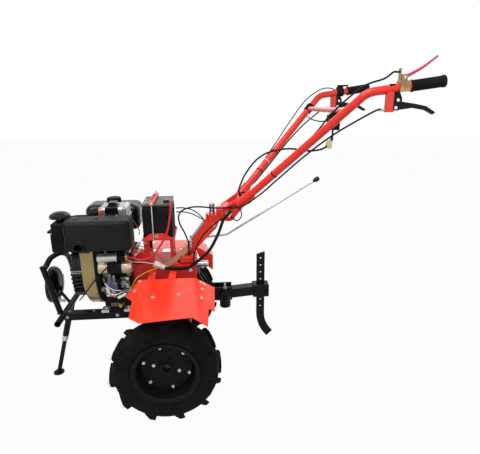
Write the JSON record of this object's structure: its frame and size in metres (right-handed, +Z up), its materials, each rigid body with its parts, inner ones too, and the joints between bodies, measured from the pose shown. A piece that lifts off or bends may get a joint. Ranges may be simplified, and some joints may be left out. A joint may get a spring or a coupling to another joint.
{
  "type": "two-wheel walking tractor",
  "caption": "Walking tractor with air-cooled engine, gearbox, lugged tyres, fenders, battery, folding front stand, depth bar and a swivelling, tilting handlebar with clutch levers.",
  "frame": {"origin": "on the ground, in the middle of the machine's box", "axes": "+X from the engine towards the handle grips, +Y to the right side of the machine seen from the grips' back, +Z up"},
  "size_m": [1.679, 0.96, 1.4769],
  "materials": {
    "red_paint": "semi-gloss red paint",
    "orange_paint": "gloss orange-red paint",
    "black_paint": "satin black paint",
    "gold_paint": "satin gold paint",
    "red_casting": "red paint on cast iron",
    "silver_casting": "bare casting",
    "grey_casting": "dark casting",
    "flywheel_iron": "machined cast iron",
    "chrome_plate": "bright chrome",
    "bare_steel": "bare steel",
    "yellow_zinc": "yellow passivated zinc",
    "black_plastic": "matt black plastic",
    "orange_plastic": "orange plastic",
    "red_plastic": "red plastic",
    "cable_black": "black cable sheath",
    "cable_red": "red cable sheath",
    "grip_rubber": "ribbed black rubber",
    "tyre_rubber": "matt tyre rubber",
    "lens_glass": "clear lens"
  },
  "bodies": {
    "chassis": {"air_cleaner": "black_plastic", "battery": "black_plastic", "battery_cable": "cable_red", "battery_clamp": "red_paint", "battery_tray": "red_paint", "blower_housing": "gold_paint", "bumper_hoop": "black_paint", "bumper_post": "black_paint", "clutch_cable_lower": "cable_black", "column_arm": "red_paint", "cylinder_head": "silver_casting", "drawbar": "black_paint", "engine_block": "grey_casting", "engine_rail_left": "black_paint", "engine_rail_right": "black_paint", "fender_left": "orange_paint", "fender_right": "orange_paint", "front_cross_tube": "black_paint", "fuel_tank": "black_plastic", "gearbox_case": "red_casting", "harness_lower": "cable_black", "headlight": "black_plastic", "headlight_lens": "lens_glass", "hitch_bracket": "black_paint", "muffler": "black_paint", "pto_cap": "chrome_plate", "rain_cap": "black_plastic", "recoil_cover": "black_plastic", "starter_motor": "silver_casting"},
    "drive_wheels": {"axle_shaft": "bare_steel", "left_wheel": "black_paint", "left_tyre": "tyre_rubber", "right_wheel": "black_paint", "right_tyre": "tyre_rubber"},
    "pinion": {"drive_pinion": "bare_steel"},
    "crank": {"crankshaft": "bare_steel", "flywheel": "flywheel_iron"},
    "stand": {"stand_leg": "black_paint"},
    "decompression": {"decompression_lever": "orange_plastic"},
    "tank_cap": {"fuel_cap": "black_plastic"},
    "gear_shift": {"shift_rod": "bare_steel"},
    "depth": {"depth_bar": "black_paint"},
    "swivel": {"swivel_yoke": "red_paint", "swivel_pin": "chrome_plate"},
    "handlebar": {"handle_base": "red_paint", "handlebar_left": "red_paint", "handlebar_right": "red_paint", "crossbar": "red_paint", "grip_left": "grip_rubber", "grip_right": "grip_rubber", "hand_lever_bracket": "yellow_zinc", "switch_box": "black_plastic", "clutch_cable_left": "cable_black", "clutch_cable_right": "cable_black", "hand_lever_cable": "cable_black", "harness_upper": "cable_black"},
    "left_clutch": {"clutch_lever_left": "black_plastic"},
    "right_clutch": {"clutch_lever_right": "black_plastic"},
    "hand": {"hand_lever": "red_plastic"},
    "throttle": {"throttle_lever": "black_plastic"}
  },
  "joints": [
    {"name": "wheels_roll", "type": "hinge", "parent": "chassis", "child": "drive_wheels", "pos_m": [-0.2251, 0, 0.235], "axis": [0, 1, 0], "continuous": true},
    {"name": "pinion_turn", "type": "hinge", "parent": "chassis", "child": "pinion", "pos_m": [-0.2251, 0, 0.331], "axis": [0, 1, 0], "continuous": true},
    {"name": "crank_turn", "type": "hinge", "parent": "chassis", "child": "crank", "pos_m": [-0.4554, 0, 0.6], "axis": [1, 0, 0], "continuous": true},
    {"name": "stand_fold", "type": "hinge", "parent": "chassis", "child": "stand", "pos_m": [-0.71706, 0, 0.34607], "axis": [0, -1, 0], "range_deg": [0, 80]},
    {"name": "decompression_turn", "type": "hinge", "parent": "chassis", "child": "decompression", "pos_m": [-0.5029, -0.06, 0.8286], "axis": [0, 1, 0], "range_deg": [-60, 0]},
    {"name": "tank_cap_turn", "type": "hinge", "parent": "chassis", "child": "tank_cap", "pos_m": [-0.4891, 0.153, 0.85], "axis": [0, 0, 1], "range_deg": [0, 90]},
    {"name": "gear_shift_swing", "type": "hinge", "parent": "chassis", "child": "gear_shift", "pos_m": [-0.1101, 0.045, 0.6843], "axis": [0, -1, 0], "range_deg": [-5, 5]},
    {"name": "depth_bar_slide", "type": "slide", "parent": "chassis", "child": "depth", "axis": [0, 0, 1], "range_m": [-0.12, 0.1]},
    {"name": "handle_swivel", "type": "hinge", "parent": "chassis", "child": "swivel", "pos_m": [-0.0111, 0, 0.79], "axis": [0, 0, 1], "range_deg": [-30, 30], "deforming": ["harness_lower", "clutch_cable_lower"]},
    {"name": "handle_tilt", "type": "hinge", "parent": "swivel", "child": "handlebar", "pos_m": [0.0629, 0, 0.832], "axis": [0, -1, 0], "range_deg": [-20, 10], "deforming": ["harness_lower", "clutch_cable_lower"]},
    {"name": "left_clutch_squeeze", "type": "hinge", "parent": "handlebar", "child": "left_clutch", "pos_m": [0.6709, -0.34371, 1.32289], "axis": [0, -1, 0], "range_deg": [0, 18], "stiffness_Nm_per_rad": 1.2, "springref_deg": -20.05},
    {"name": "right_clutch_squeeze", "type": "hinge", "parent": "handlebar", "child": "right_clutch", "pos_m": [0.6709, 0.34371, 1.32289], "axis": [0, -1, 0], "range_deg": [0, 18], "stiffness_Nm_per_rad": 1.2, "springref_deg": -20.05},
    {"name": "hand_lever_pull", "type": "hinge", "parent": "handlebar", "child": "hand", "pos_m": [0.688, -0.34593, 1.40129], "axis": [0, 1, 0], "range_deg": [0, 14]},
    {"name": "throttle_turn", "type": "hinge", "parent": "handlebar", "child": "throttle", "pos_m": [0.6749, 0.34423, 1.39345], "axis": [0, 0, 1], "range_deg": [-35, 35]}
  ],
  "couplings": [
    {"joint": "pinion_turn", "follows": "wheels_roll", "ratio": -3}
  ]
}
